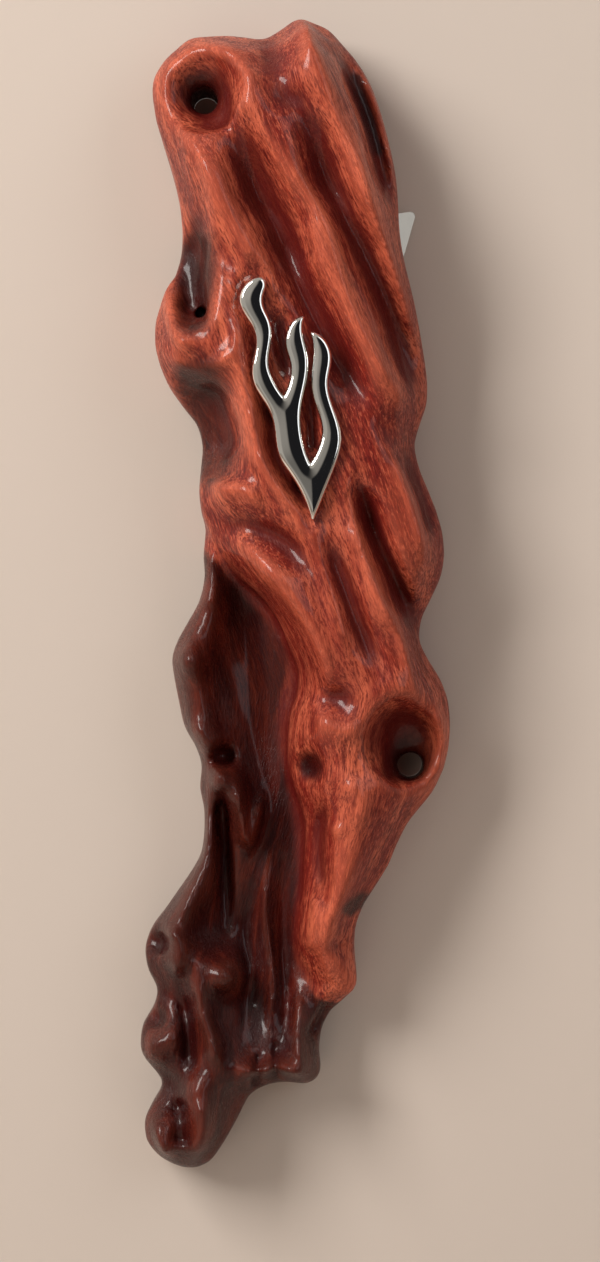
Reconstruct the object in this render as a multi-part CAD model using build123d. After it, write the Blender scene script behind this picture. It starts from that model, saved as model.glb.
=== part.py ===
"""Wall-mounted mezuzah case: one gnarled block of red hardwood, carved on its front and flat on its
back, with a polished three-branched metal emblem.  The rolled parchment lies in a channel milled
into the back, behind a screwed cover, and clear mounting pads hold the case to the door post.

Frame: millimetres, +Z up, +X to the right as seen from the front, the front faces -Y.  The origin
is where the axis of the upper screw hole meets the flat back of the wood.  "Height" below means
the distance in front of that back plane, along -Y.
"""
from build123d import *
import math
import os
import numpy as np

# ---- case body: overall sizes, and the sizes at which its outline and relief are drawn ----
BODY_LENGTH = 231.5
BODY_WIDTH = 62.5
BODY_DEPTH = 29.0
PATTERN_LENGTH = 231.5
PATTERN_WIDTH = 62.5
PATTERN_DEPTH = 29.0

# ---- wall screw holes ----
SCREW_HOLE_RADIUS = 2.5
UPPER_HOLE = (0.0, 0.0)
LOWER_HOLE = (41.2, -132.8)
UPPER_BORE_LENGTH = 14.0
LOWER_BORE_LENGTH = 10.0
FUNNEL_DEPTH = 3.0
FUNNEL_FLARE = 2.0
UPPER_SCOOP = (-1.6, 1.2)
LOWER_SCOOP = (40.8, -129.0)
UPPER_SCOOP_RADIUS = 9.0
LOWER_SCOOP_RADIUS = 7.5

# ---- scroll, and its channel in the back ----
SLEEVE_DIAMETER = 9.6
SLEEVE_WALL = 0.25
SLEEVE_INSET = 0.5
PARCHMENT_THICKNESS = 0.3
PARCHMENT_PITCH = 0.45
PARCHMENT_CORE = 4.0
SCROLL_CLEARANCE = 0.3
ROLL_CLEARANCE = 0.15
CHANNEL_X = 20.0
CHANNEL_TOP = -5.0
CHANNEL_BOTTOM = -93.0
CHANNEL_CORNER = 0.5
FINGER_ROOM = 17.4

# ---- back cover and its screws ----
COVER_THICKNESS = 2.4
COVER_LAP = 2.4
COVER_CLEARANCE = 0.2
COVER_SCREW_INSET = 4.5
SCREW_LENGTH = 10.0
SCREW_SHANK_RADIUS = 1.25
SCREW_HEAD_RADIUS = 2.4
SCREW_POINT = 2.0
SCREW_SLOT_WIDTH = 0.6
SCREW_SLOT_DEPTH = 0.7
SCREW_CLEARANCE = 0.05
PILOT_EXTRA = 1.0

# ---- emblem and its studs ----
EMBLEM_HEIGHT = 47.2
EMBLEM_PATTERN_HEIGHT = 47.2
EMBLEM_THICKNESS = 2.2
EMBLEM_SEAT = 25.5
EMBLEM_GAP = 0.3
EMBLEM_CENTRE = (17.2, -60.3)
STUD_RADIUS = 0.9
STUD_LENGTH = 5.0
STUD_CLEARANCE = 0.05
STUD_PLACES = {"emblem_stud_upper": (16.1, -62.7), "emblem_stud_lower": (21.5, -76.7)}

# ---- clear mounting pads ----
TAPE_THICKNESS = 1.0
TAPE_CORNER = 1.0

# ---- outlines at pattern size, (x, z): tops and bottoms run left to right, sides run down ----
LIMB_EDGES = {
    "top": [(-10.4, 0.8), (-9.4, 7.4), (-6.4, 10.8), (-2.4, 13.4), (2.0, 14.2), (7.6, 12.2),
            (11.0, 12.2), (14.4, 13.8), (20.6, 17.4), (25.8, 14.0), (29.4, 10.0), (33.4, 2.4)],
    "right": [(33.4, 2.4), (36.2, -5.6), (38.0, -14.6), (38.8, -25.6), (40.4, -34.6),
              (43.0, -45.6), (44.6, -54.6), (44.2, -61.2), (41.8, -68.8), (43.4, -74.0),
              (46.2, -80.6), (47.8, -88.6), (46.2, -98.0), (42.6, -107.2), (45.6, -113.2),
              (48.4, -118.6), (49.2, -125.2), (47.8, -134.0), (43.0, -141.2), (38.4, -148.0),
              (35.6, -155.2), (31.6, -160.6), (30.0, -167.6), (30.4, -174.0)],
    "bottom": [(22.6, -175.6), (25.4, -178.2), (28.2, -178.8), (30.4, -174.0)],
    "left": [(-10.4, 0.8), (-9.8, -3.6), (-8.0, -9.6), (-6.0, -16.6), (-4.8, -22.6),
             (-4.6, -28.6), (-5.8, -34.2), (-9.0, -40.0), (-10.2, -44.6), (-8.2, -54.6),
             (-5.6, -59.6), (-2.0, -63.6), (-0.4, -68.0), (-1.4, -76.6), (0.2, -85.6),
             (3.4, -90.8), (6.6, -96.0), (11.4, -101.6), (15.0, -105.6), (17.4, -110.0),
             (19.0, -116.0), (16.2, -122.0), (15.6, -127.6), (17.0, -134.6), (19.8, -142.6),
             (19.6, -151.6), (19.8, -158.6), (18.6, -165.6), (19.4, -172.0), (22.6, -175.6)],
}
SHELL_EDGES = {
    "top": [(-0.1, -85.5), (3.0, -83.6), (6.0, -86.0)],
    "right": [(6.0, -86.0), (19.0, -103.6), (26.0, -119.6), (27.0, -139.6), (27.0, -155.6),
              (28.0, -171.6), (29.6, -177.8), (26.6, -180.8), (24.4, -183.4), (23.0, -187.5),
              (22.8, -190.9), (23.4, -194.3)],
    "bottom": [(-7.9, -197.5), (0.0, -199.5), (8.8, -199.1), (14.4, -196.5), (20.8, -197.3),
               (23.4, -194.3)],
    "left": [(-0.1, -85.5), (-0.3, -90.6), (0.3, -94.6), (-0.5, -98.6), (-3.5, -103.6),
             (-6.1, -109.2), (-6.7, -113.2), (-5.9, -118.0), (-4.5, -124.7), (-3.1, -127.7),
             (-0.7, -130.3), (-1.5, -136.1), (-0.7, -139.7), (0.7, -144.7), (0.7, -149.7),
             (-2.1, -153.7), (-6.5, -159.6), (-10.1, -164.2), (-12.3, -167.8), (-12.3, -171.8),
             (-10.5, -176.6), (-8.7, -179.6), (-11.3, -182.2), (-13.1, -185.6), (-13.1, -189.7),
             (-11.3, -193.1), (-7.9, -197.5)],
}
LOBE_EDGES = {
    "top": [(-5.0, -190.0), (2.0, -189.0), (9.0, -191.0)],
    "right": [(9.0, -191.0), (9.6, -195.5), (8.8, -199.1), (5.8, -205.3), (3.6, -209.1),
              (1.7, -212.1)],
    "bottom": [(-12.1, -208.7), (-9.1, -211.7), (-6.1, -213.5), (-1.7, -214.1), (1.7, -212.1)],
    "left": [(-5.0, -190.0), (-8.2, -196.8), (-11.3, -201.7), (-12.5, -204.7),
             (-12.1, -208.7)],
}
# Smooth runs between the emblem's tips and crotches, from its lowest tip and back to it.
EMBLEM_RUNS = [
    [(21.5, -83.8), (20.3, -80.3), (17.1, -74.7), (15.4, -72.1), (14.1, -65.3), (13.2, -62.6),
     (10.4, -57.6), (9.9, -54.9), (10.6, -48.5), (9.7, -45.9), (7.5, -40.6), (8.2, -38.8),
     (9.7, -37.3), (11.2, -36.8), (12.1, -37.8), (11.7, -39.8), (11.7, -42.5), (12.9, -45.2),
     (13.3, -47.5), (12.7, -53.9), (13.4, -56.3), (15.8, -60.3)],
    [(15.8, -60.3), (17.2, -57.0), (17.4, -53.6), (16.4, -49.6), (16.9, -46.9), (18.1, -45.1),
     (19.6, -44.6)],
    [(19.6, -44.6), (19.3, -46.9), (20.3, -52.2), (20.3, -55.4), (19.0, -62.5), (19.2, -67.7),
     (21.0, -73.5)],
    [(21.0, -73.5), (23.2, -69.0), (23.6, -66.7), (22.1, -61.0), (21.5, -57.6), (21.9, -51.6),
     (21.3, -47.6)],
    [(21.3, -47.6), (22.8, -48.2), (24.9, -51.9), (24.3, -56.9), (26.8, -68.0), (25.5, -73.7),
     (21.5, -83.8)],
]

# ---- relief at pattern size ----
# Height of the limb's crown and of the shell's hollow floor at stations down the length.
LIMB_CROWN = [(17.0, 24.0), (0.0, 26.5), (-40.0, 26.0), (-80.0, 25.5), (-100.0, 25.0),
              (-130.0, 23.5), (-150.0, 21.5), (-178.0, 18.0)]
SHELL_FLOOR = [(-84.0, 11.0), (-100.0, 8.5), (-170.0, 8.5), (-195.0, 11.0), (-214.0, 10.0)]
# Crests (height above 0) and grooves (below 0): line of points, half width, height.
LIMB_STROKES = [
    ([(20.4, 14.7), (22.7, 2.0), (26.5, -11.8), (30.8, -20.2), (35.9, -30.8), (41.0, -44.9)],
     4.5, 2.2),
    ([(22.5, -5.5), (24.9, -19.2), (28.6, -24.5), (32.3, -31.0), (38.8, -49.5)], 3.5, -3.0),
    ([(6.0, 6.1), (14.5, -7.4), (19.6, -15.9), (25.3, -33.0), (31.2, -52.6), (34.3, -60.5)],
     3.5, 2.0),
    ([(6.0, -8.2), (12.9, -22.8), (19.6, -37.3), (27.8, -55.5)], 4.0, -3.0),
    ([(-1.6, -9.2), (6.0, -24.5), (12.9, -35.5)], 4.0, 1.2),
    ([(26.5, 7.1), (32.0, -4.1), (36.3, -18.4)], 4.0, -4.0),
    ([(3.0, -64.4)], 7.5, -7.0),
    ([(-2.6, -30.0), (-1.6, -42.8)], 3.2, -5.0),
    ([(3.5, -83.8), (9.4, -85.6), (15.5, -88.5)], 4.0, -3.0),
    ([(28.2, -78.3), (28.6, -86.8), (33.7, -103.4), (38.4, -117.8)], 4.0, 2.0),
    ([(32.0, -80.5), (35.9, -93.2), (38.6, -99.7)], 3.0, -3.0),
    ([(11.5, -91.9), (19.6, -102.5), (24.3, -112.7), (25.3, -116.6)], 4.5, 2.0),
    ([(26.5, -139.0), (27.8, -150.8), (24.9, -162.1)], 5.0, 1.5),
]
SHELL_STROKES = [
    ([(-2.0, -92.0), (-1.0, -100.0), (-3.5, -113.0), (-2.0, -124.0), (2.0, -134.0)], 4.5, 9.0),
    ([(3.5, -139.0), (1.0, -150.0), (-4.0, -160.0), (-8.0, -169.4)], 4.5, 9.0),
    ([(-1.9, -171.4), (0.1, -181.4), (1.7, -189.3), (-2.0, -200.0), (-3.9, -206.3)], 4.5, 7.0),
    ([(-9.3, -186.4)], 4.5, 7.0),
    ([(4.6, -174.4)], 3.5, 5.0),
    ([(7.0, -195.0), (14.0, -193.0), (20.0, -193.0)], 4.5, 4.0),
    ([(26.0, -178.0), (21.4, -185.4), (21.0, -192.0)], 4.5, 5.0),
]
LOBE_CROWN = [(-190.0, 11.0), (-214.0, 11.0)]
LOBE_STROKES = [([(1.0, -190.0), (-2.0, -200.0), (-4.0, -206.0)], 5.5, 8.0)]
LIMB_EDGE_HEIGHT = 12.0
LIMB_EDGE_ROUND = 9.0
SHELL_EDGE_HEIGHT = 8.0
SHELL_EDGE_ROUND = 5.0
# The emblem's seat is pared level along these lines, then fades into the relief.
SEAT_LINES = [[(11.0, -40.0), (12.0, -55.0), (17.0, -65.0), (21.0, -78.0)],
              [(18.5, -48.0), (18.0, -62.0)], [(22.5, -51.0), (24.5, -68.0)]]
SEAT_RADIUS = 6.0
SEAT_FADE = 3.5
FACET_SIZE = 4.5
FACET_COLUMNS = 13

LENGTH_SCALE = BODY_LENGTH / PATTERN_LENGTH
WIDTH_SCALE = BODY_WIDTH / PATTERN_WIDTH
DEPTH_SCALE = BODY_DEPTH / PATTERN_DEPTH
EMBLEM_SCALE = EMBLEM_HEIGHT / EMBLEM_PATTERN_HEIGHT

FORWARD = (0, -1, 0)


def station(x, z):
    """A place on the back plane, from its place on the pattern."""
    return (x * WIDTH_SCALE, z * LENGTH_SCALE)


def emblem_station(x, z):
    """A place on the emblem, which is scaled about its own centre."""
    centre_x, centre_z = station(*EMBLEM_CENTRE)
    return (centre_x + (x - EMBLEM_CENTRE[0]) * EMBLEM_SCALE,
            centre_z + (z - EMBLEM_CENTRE[1]) * EMBLEM_SCALE)


def front_plane(height):
    """The plane parallel to the back at this height, with local x = X and local y = Z."""
    return Plane.XZ.offset(height)


def raised(sketch, low, high):
    """The solid of a sketch drawn in (x, z), between two heights."""
    return extrude(front_plane(low) * sketch, high - low, dir=FORWARD)


def disc(place, radius):
    return Pos(*place) * Circle(radius)


def cone(place, low, low_radius, high, high_radius):
    """A cone along the height axis, with its radius at two heights."""
    middle = (place[0], -(low + high) / 2, place[1])
    return Pos(*middle) * Rot(90, 0, 0) * Cone(low_radius, high_radius, high - low)


# ---- relief -------------------------------------------------------------------------------
def line_distance(x, z, line):
    """Distance from each grid point to a line of points."""
    ends = [np.array(station(*p)) for p in line]
    if len(ends) == 1:
        return np.hypot(x - ends[0][0], z - ends[0][1])
    best = np.full(x.shape, np.inf)
    for start, end in zip(ends[:-1], ends[1:]):
        run = end - start
        share = ((x - start[0]) * run[0] + (z - start[1]) * run[1]) / run.dot(run)
        share = np.clip(share, 0.0, 1.0)
        best = np.minimum(best, np.hypot(x - start[0] - share * run[0],
                                         z - start[1] - share * run[1]))
    return best


def edge_places(points, shares):
    """Places along the smooth edge through some points, at shares of its length."""
    curve = Spline(*[station(*p) for p in points])
    return np.array([tuple(curve.position_at(share))[:2] for share in shares])


def patch(edges, columns, rows):
    """Places spread over a four-edged outline: x and z arrays of rows by columns."""
    across = (1 - np.cos(np.linspace(0, math.pi, columns))) / 2
    down = np.linspace(0, 1, rows)
    top, bottom = edge_places(edges["top"], across), edge_places(edges["bottom"], across)
    left, right = edge_places(edges["left"], down), edge_places(edges["right"], down)
    u, v = across[None, :, None], down[:, None, None]
    sides = left[:, None] * (1 - u) + right[:, None] * u
    ends = top[None] * (1 - v) + bottom[None] * v
    corners = ((top[0] * (1 - u) + top[-1] * u) * (1 - v)
               + (bottom[0] * (1 - u) + bottom[-1] * u) * v)
    places = sides + ends - corners
    return places[:, :, 0], places[:, :, 1]


def inside_depth(x, z):
    """Distance of each place of a patch from the patch's outline."""
    ring = np.concatenate([np.stack([x[0], z[0]], 1), np.stack([x[:, -1], z[:, -1]], 1),
                           np.stack([x[-1, ::-1], z[-1, ::-1]], 1),
                           np.stack([x[::-1, 0], z[::-1, 0]], 1)])
    depth = np.full(x.shape, np.inf)
    for start, end in zip(ring, np.roll(ring, -1, axis=0)):
        run = end - start
        square = max(run.dot(run), 1e-9)
        share = np.clip(((x - start[0]) * run[0] + (z - start[1]) * run[1]) / square, 0, 1)
        depth = np.minimum(depth, np.hypot(x - start[0] - share * run[0],
                                           z - start[1] - share * run[1]))
    return depth


def seat_weight(x, z):
    """1 under the emblem, fading to 0 around it."""
    distance = np.full(x.shape, np.inf)
    for line in SEAT_LINES:
        distance = np.minimum(distance, line_distance(x, z, line))
    return np.exp(-(np.maximum(distance - SEAT_RADIUS, 0.0) / SEAT_FADE) ** 2)


def relief_height(x, z, crown, strokes, edge_height, edge_round):
    """Height of a carved front: its crown, its crests and grooves, and its rounded edge."""
    levels = sorted(crown)
    height = np.interp(z, [p[0] * LENGTH_SCALE for p in levels], [p[1] for p in levels])
    for line, half_width, rise in strokes:
        height = height + rise * np.exp(-(line_distance(x, z, line) / half_width) ** 2)
    share = np.clip(inside_depth(x, z) / edge_round, 0.0, 1.0)
    return edge_height + (height - edge_height) * np.sin(share * math.pi / 2)


def carved(edges, crown, strokes, edge_height, edge_round, seat=False):
    """A block cut in facets to a relief, with upright sides at its edges and a flat back."""
    side = Spline(*[station(*p) for p in edges["left"]])
    rows = max(6, round(side.length / FACET_SIZE))
    x, z = patch(edges, FACET_COLUMNS, rows)
    height = relief_height(x, z, crown, strokes, edge_height, edge_round)
    if seat:
        weight = seat_weight(x, z)
        height = height * (1 - weight) + EMBLEM_SEAT * weight
    front = [[Vector(x[i, j], -height[i, j] * DEPTH_SCALE, z[i, j])
              for j in range(FACET_COLUMNS)] for i in range(rows)]
    faces = []
    for upper, lower in zip(front[:-1], front[1:]):
        for j in range(FACET_COLUMNS - 1):
            faces.append(facet(upper[j], lower[j], lower[j + 1]))
            faces.append(facet(upper[j], lower[j + 1], upper[j + 1]))
    rim = (front[0][:-1] + [row[-1] for row in front[:-1]] + front[-1][:0:-1]
           + [row[0] for row in front[:0:-1]])
    foot = [Vector(p.X, 0, p.Z) for p in rim]
    for i in range(len(rim)):
        faces.append(facet(rim[i], rim[i - 1], foot[i - 1], foot[i]))
    faces.append(facet(*foot))
    return Part() + Solid(Shell(faces))


def facet(*corners):
    """A flat face with these corners."""
    return Face(Wire.make_polygon(corners, close=True))


# ---- scroll channel and cover, worked out from the values above ---------------------------
CHANNEL_WIDTH = SLEEVE_DIAMETER + 2 * SCROLL_CLEARANCE
CHANNEL_LENGTH = (CHANNEL_TOP - CHANNEL_BOTTOM) * LENGTH_SCALE
CHANNEL_CENTRE = station(CHANNEL_X, (CHANNEL_TOP + CHANNEL_BOTTOM) / 2)
CHANNEL_FLOOR = COVER_THICKNESS + CHANNEL_WIDTH
COVER_WIDTH = CHANNEL_WIDTH + 2 * COVER_LAP
COVER_LENGTH = CHANNEL_LENGTH + 2 * COVER_SCREW_INSET + COVER_WIDTH
SCROLL_LENGTH = CHANNEL_LENGTH - FINGER_ROOM - 2 * SCROLL_CLEARANCE
SCROLL_MIDDLE = (CHANNEL_CENTRE[0], -(COVER_THICKNESS + CHANNEL_WIDTH / 2),
                 CHANNEL_CENTRE[1] - CHANNEL_LENGTH / 2 + SCROLL_CLEARANCE + SCROLL_LENGTH / 2)
SCREW_REACH = CHANNEL_LENGTH / 2 + COVER_SCREW_INSET
COVER_SCREWS = {
    "cover_screw_upper": (CHANNEL_CENTRE[0], CHANNEL_CENTRE[1] + SCREW_REACH),
    "cover_screw_lower": (CHANNEL_CENTRE[0], CHANNEL_CENTRE[1] - SCREW_REACH),
}
EMBLEM_BACK = EMBLEM_SEAT * DEPTH_SCALE + EMBLEM_GAP


def slot(width, length):
    """A round-ended upright slot about the middle of the channel."""
    return Pos(*CHANNEL_CENTRE) * Rot(0, 0, 90) * SlotOverall(length, width)


# ---- wood ---------------------------------------------------------------------------------
def wall_hole(place, bore_length, scoop, scoop_radius):
    """A screw hole: a bore right through, a short funnel in it, and the carved scoop around."""
    axis = station(*place)
    bore = raised(disc(axis, SCREW_HOLE_RADIUS), -1, 2 * BODY_DEPTH)
    funnel = cone(axis, bore_length, SCREW_HOLE_RADIUS, bore_length + FUNNEL_DEPTH,
                  SCREW_HOLE_RADIUS + FUNNEL_FLARE)
    scoop_x, scoop_z = station(*scoop)
    rest = bore_length + FUNNEL_DEPTH / 2 + scoop_radius
    bowl = Pos(scoop_x, -rest, scoop_z) * Sphere(scoop_radius)
    mouth = raised(disc((scoop_x, scoop_z), scoop_radius), rest, 2 * BODY_DEPTH)
    return bore + funnel + bowl + mouth


def make_case_body():
    limb = carved(LIMB_EDGES, LIMB_CROWN, LIMB_STROKES, LIMB_EDGE_HEIGHT, LIMB_EDGE_ROUND,
                  seat=True)
    shell = carved(SHELL_EDGES, SHELL_FLOOR, SHELL_STROKES, SHELL_EDGE_HEIGHT,
                   SHELL_EDGE_ROUND)
    lobe = carved(LOBE_EDGES, LOBE_CROWN, LOBE_STROKES, SHELL_EDGE_HEIGHT, SHELL_EDGE_ROUND)
    body = limb + shell + lobe
    body -= wall_hole(UPPER_HOLE, UPPER_BORE_LENGTH, UPPER_SCOOP, UPPER_SCOOP_RADIUS)
    body -= wall_hole(LOWER_HOLE, LOWER_BORE_LENGTH, LOWER_SCOOP, LOWER_SCOOP_RADIUS)
    body -= raised(slot(COVER_WIDTH + 2 * COVER_CLEARANCE, COVER_LENGTH + 2 * COVER_CLEARANCE),
                   -1, COVER_THICKNESS)
    channel = Pos(*CHANNEL_CENTRE) * RectangleRounded(CHANNEL_WIDTH, CHANNEL_LENGTH,
                                                      CHANNEL_CORNER)
    body -= raised(channel, 0, CHANNEL_FLOOR)
    for place in COVER_SCREWS.values():
        body -= raised(disc(place, SCREW_SHANK_RADIUS + SCREW_CLEARANCE), 0,
                       SCREW_LENGTH + PILOT_EXTRA)
    for place in STUD_PLACES.values():
        body -= raised(disc(emblem_station(*place), STUD_RADIUS + STUD_CLEARANCE),
                       EMBLEM_BACK - STUD_LENGTH - STUD_CLEARANCE, 2 * BODY_DEPTH)
    return body


# ---- emblem -------------------------------------------------------------------------------
def make_emblem():
    edges = [Spline(*[emblem_station(*p) for p in run]) for run in EMBLEM_RUNS]
    return raised(make_face(edges), EMBLEM_BACK, EMBLEM_BACK + EMBLEM_THICKNESS)


def make_stud(place):
    return raised(disc(emblem_station(*place), STUD_RADIUS), EMBLEM_BACK - STUD_LENGTH,
                  EMBLEM_BACK)


# ---- cover --------------------------------------------------------------------------------
def make_back_cover():
    cover = raised(slot(COVER_WIDTH, COVER_LENGTH), 0, COVER_THICKNESS)
    head_hole = SCREW_HEAD_RADIUS + SCREW_CLEARANCE
    shank_hole = SCREW_SHANK_RADIUS + SCREW_CLEARANCE
    for place in COVER_SCREWS.values():
        cover -= raised(disc(place, shank_hole), 0, COVER_THICKNESS)
        cover -= cone(place, 0, head_hole, head_hole - shank_hole, shank_hole)
    return cover


def make_cover_screw(place):
    head_height = SCREW_HEAD_RADIUS - SCREW_SHANK_RADIUS
    screw = cone(place, 0, SCREW_HEAD_RADIUS, head_height, SCREW_SHANK_RADIUS)
    screw += raised(disc(place, SCREW_SHANK_RADIUS), head_height, SCREW_LENGTH - SCREW_POINT)
    screw += cone(place, SCREW_LENGTH - SCREW_POINT, SCREW_SHANK_RADIUS, SCREW_LENGTH,
                  SCREW_SHANK_RADIUS / 4)
    slot_cut = Pos(*place) * Rectangle(2 * SCREW_HEAD_RADIUS + 1, SCREW_SLOT_WIDTH)
    return screw - raised(slot_cut, -1, SCREW_SLOT_DEPTH)


# ---- scroll -------------------------------------------------------------------------------
def spiral_point(turn, offset):
    """A point of the rolled sheet: its inner face at offset 0, its outer face at its thickness."""
    radius = PARCHMENT_CORE / 2 + PARCHMENT_PITCH * turn + offset
    return (radius * math.cos(2 * math.pi * turn), radius * math.sin(2 * math.pi * turn))


def make_scroll_parchment():
    outer_radius = SLEEVE_DIAMETER / 2 - SLEEVE_WALL - ROLL_CLEARANCE
    turns = (outer_radius - PARCHMENT_THICKNESS - PARCHMENT_CORE / 2) / PARCHMENT_PITCH
    steps = round(turns * 12)
    inner = [spiral_point(turns * i / steps, 0) for i in range(steps + 1)]
    outer = [spiral_point(turns * i / steps, PARCHMENT_THICKNESS) for i in range(steps + 1)]
    section = make_face([Spline(*inner), Line(inner[-1], outer[-1]), Spline(*outer),
                         Line(outer[0], inner[0])])
    length = SCROLL_LENGTH - 2 * SLEEVE_INSET
    x, y, z = SCROLL_MIDDLE
    return Pos(x, y, z - length / 2) * extrude(section, length, dir=(0, 0, 1))


def make_scroll_sleeve():
    radius = SLEEVE_DIAMETER / 2
    tube = Cylinder(radius, SCROLL_LENGTH) - Cylinder(radius - SLEEVE_WALL, SCROLL_LENGTH)
    return Pos(*SCROLL_MIDDLE) * tube


# ---- mounting pads, at pattern size; the upper right one shows past the wood's edge --------
TAPE_OUTLINES = {
    "tape_upper_right": [(31.0, -22.0), (42.8, -20.2), (40.4, -28.6), (38.4, -33.6),
                         (31.0, -33.6)],
    "tape_upper_left": [(-2.0, -22.0), (9.5, -22.0), (9.5, -34.0), (-2.0, -34.0)],
    "tape_lower": [(6.0, -140.0), (24.0, -140.0), (24.0, -165.0), (6.0, -165.0)],
}


def make_tape(points):
    sketch = make_face(Polyline(*[station(*p) for p in points], close=True))
    return raised(fillet(sketch.vertices(), TAPE_CORNER), -TAPE_THICKNESS, 0)


def build():
    """Every node of the case, by name."""
    nodes = {"case_body": make_case_body(), "emblem": make_emblem()}
    for name, place in STUD_PLACES.items():
        nodes[name] = make_stud(place)
    nodes["back_cover"] = make_back_cover()
    for name, place in COVER_SCREWS.items():
        nodes[name] = make_cover_screw(place)
    nodes["scroll_parchment"] = make_scroll_parchment()
    nodes["scroll_sleeve"] = make_scroll_sleeve()
    for name, points in TAPE_OUTLINES.items():
        nodes[name] = make_tape(points)
    return nodes


os.makedirs("parts", exist_ok=True)
for node_name, shape in build().items():
    export_step(shape, f"parts/{node_name}.step")
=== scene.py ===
"""Looks of a wall-mounted mezuzah case: a carved block of red hardwood with a polished emblem."""
import math
import bmesh
import bpy
import numpy as np
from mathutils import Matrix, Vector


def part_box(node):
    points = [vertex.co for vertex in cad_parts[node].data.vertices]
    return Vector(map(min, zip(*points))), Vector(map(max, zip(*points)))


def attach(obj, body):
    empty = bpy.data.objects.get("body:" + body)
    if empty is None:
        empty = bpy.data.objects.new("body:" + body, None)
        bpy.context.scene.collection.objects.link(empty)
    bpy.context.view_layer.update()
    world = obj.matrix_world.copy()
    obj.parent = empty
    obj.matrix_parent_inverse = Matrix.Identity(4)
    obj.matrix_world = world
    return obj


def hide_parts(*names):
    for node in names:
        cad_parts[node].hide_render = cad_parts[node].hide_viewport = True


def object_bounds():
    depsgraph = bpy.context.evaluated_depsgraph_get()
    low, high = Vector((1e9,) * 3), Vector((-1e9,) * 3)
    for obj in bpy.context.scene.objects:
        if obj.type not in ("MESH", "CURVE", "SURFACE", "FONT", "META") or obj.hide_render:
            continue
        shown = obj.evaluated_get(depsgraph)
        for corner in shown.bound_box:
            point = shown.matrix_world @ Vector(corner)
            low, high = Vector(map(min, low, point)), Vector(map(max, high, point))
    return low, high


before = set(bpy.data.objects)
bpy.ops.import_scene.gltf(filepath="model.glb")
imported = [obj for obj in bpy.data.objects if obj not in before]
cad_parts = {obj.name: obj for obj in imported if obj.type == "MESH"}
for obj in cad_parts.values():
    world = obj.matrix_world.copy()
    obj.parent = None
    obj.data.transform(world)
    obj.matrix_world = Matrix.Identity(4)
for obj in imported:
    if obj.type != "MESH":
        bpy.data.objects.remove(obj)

import openvdb
from mathutils import Matrix, Vector

bl_info = {
    "name": "Carved Mezuzah Case",
    "version": (1, 0, 0),
    "blender": (4, 5, 0),
    "location": "View3D > Sidebar > Mezuzah",
    "description": "Builds the carved wood, emblem, back cover, scroll and pads of a mezuzah case",
    "category": "Add Mesh",
}

CAD_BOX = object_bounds()
MM = 0.001
VIEW_MIDDLE = (0.019, -0.012, -0.1058)  # what the camera and the lights are aimed at
DARK_SIDE = Vector((0.50, -0.85, -0.10)).normalized()  # where the dark side of the room lies
DARK_SIDE_EDGE = (0.74, 0.86)  # cosines between which the room turns from pale to dark
PALE_ROOM = (0.80, 0.75, 0.68, 1.0)
DARK_ROOM = (0.025, 0.025, 0.028, 1.0)
ROOM_STRENGTH = 0.50


# ---- settings -----------------------------------------------------------------------------
def length(name, description, default):
    return bpy.props.FloatProperty(name=name, description=description, default=default,
                                   subtype="DISTANCE", unit="LENGTH", precision=5)


def colour(name, description, default):
    return bpy.props.FloatVectorProperty(name=name, description=description, default=default,
                                         subtype="COLOR", size=3, min=0.0, max=1.0)


class CarvingSettings(bpy.types.PropertyGroup):
    """Sizes and colours of the carved block."""
    voxel: length("Cell", "Cell size of the field that the block is carved in", 0.0007)
    melt: length("Melt", "How far the chisel facets are smoothed away", 0.0011)
    bore: length("Screw hole radius", "Radius of the two wall screw holes", 0.0025)
    # light fibre also paints highlight on the crests, and dark fibre paints shade in the hollows,
    # of the carved wood
    light_wood: colour("Light fibre", "Lightest fibres of the wood", (0.58, 0.125, 0.062))
    red_wood: colour("Red fibre", "Main colour of the wood", (0.20, 0.016, 0.009))
    dark_wood: colour("Dark fibre", "Dark fibres and hollows", (0.085, 0.005, 0.004))
    heart_wood: colour("Heartwood", "Nearly black wood of the lower shell", (0.016, 0.002, 0.002))


class EmblemSettings(bpy.types.PropertyGroup):
    """Sizes and colour of the polished emblem."""
    cell: length("Cell", "Cell size of the field that the emblem is shaped in", 0.00014)
    bevel: length("Bevel", "Width of the rounded shoulder around the emblem", 0.0008)
    fullness: length("Fullness", "How far the arms swell past their flat blank", 0.0003)
    metal: colour("Metal", "Colour of the polished metal", (0.83, 0.81, 0.77))


class BackSettings(bpy.types.PropertyGroup):
    """Colour of the cover screws and the scroll, and the size of the screws' thread."""
    brass: colour("Brass", "Colour of the cover screws", (0.62, 0.42, 0.16))
    parchment: colour("Parchment", "Colour of the rolled sheet", (0.78, 0.68, 0.48))
    thread_pitch: length("Thread pitch", "Pitch of the cover screws' thread", 0.0009)
    thread_radius: length("Thread radius", "Radius that the ridge is wound at", 0.00120)
    thread_ridge: length("Thread ridge", "Half the thickness of the ridge", 0.00014)


class StageSettings(bpy.types.PropertyGroup):
    """Camera and surroundings."""
    distance: length("Camera distance", "From the camera to the middle of the case", 0.650)
    view_height: length("View height", "Height of the view at the middle of the case", 0.2524)
    open_reach: length("Open reach", "The backdrop lets light through this near a surface", 0.0025)
    wall: colour("Wall", "Colour of the pale backdrop and floor", (0.56, 0.48, 0.42))


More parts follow.
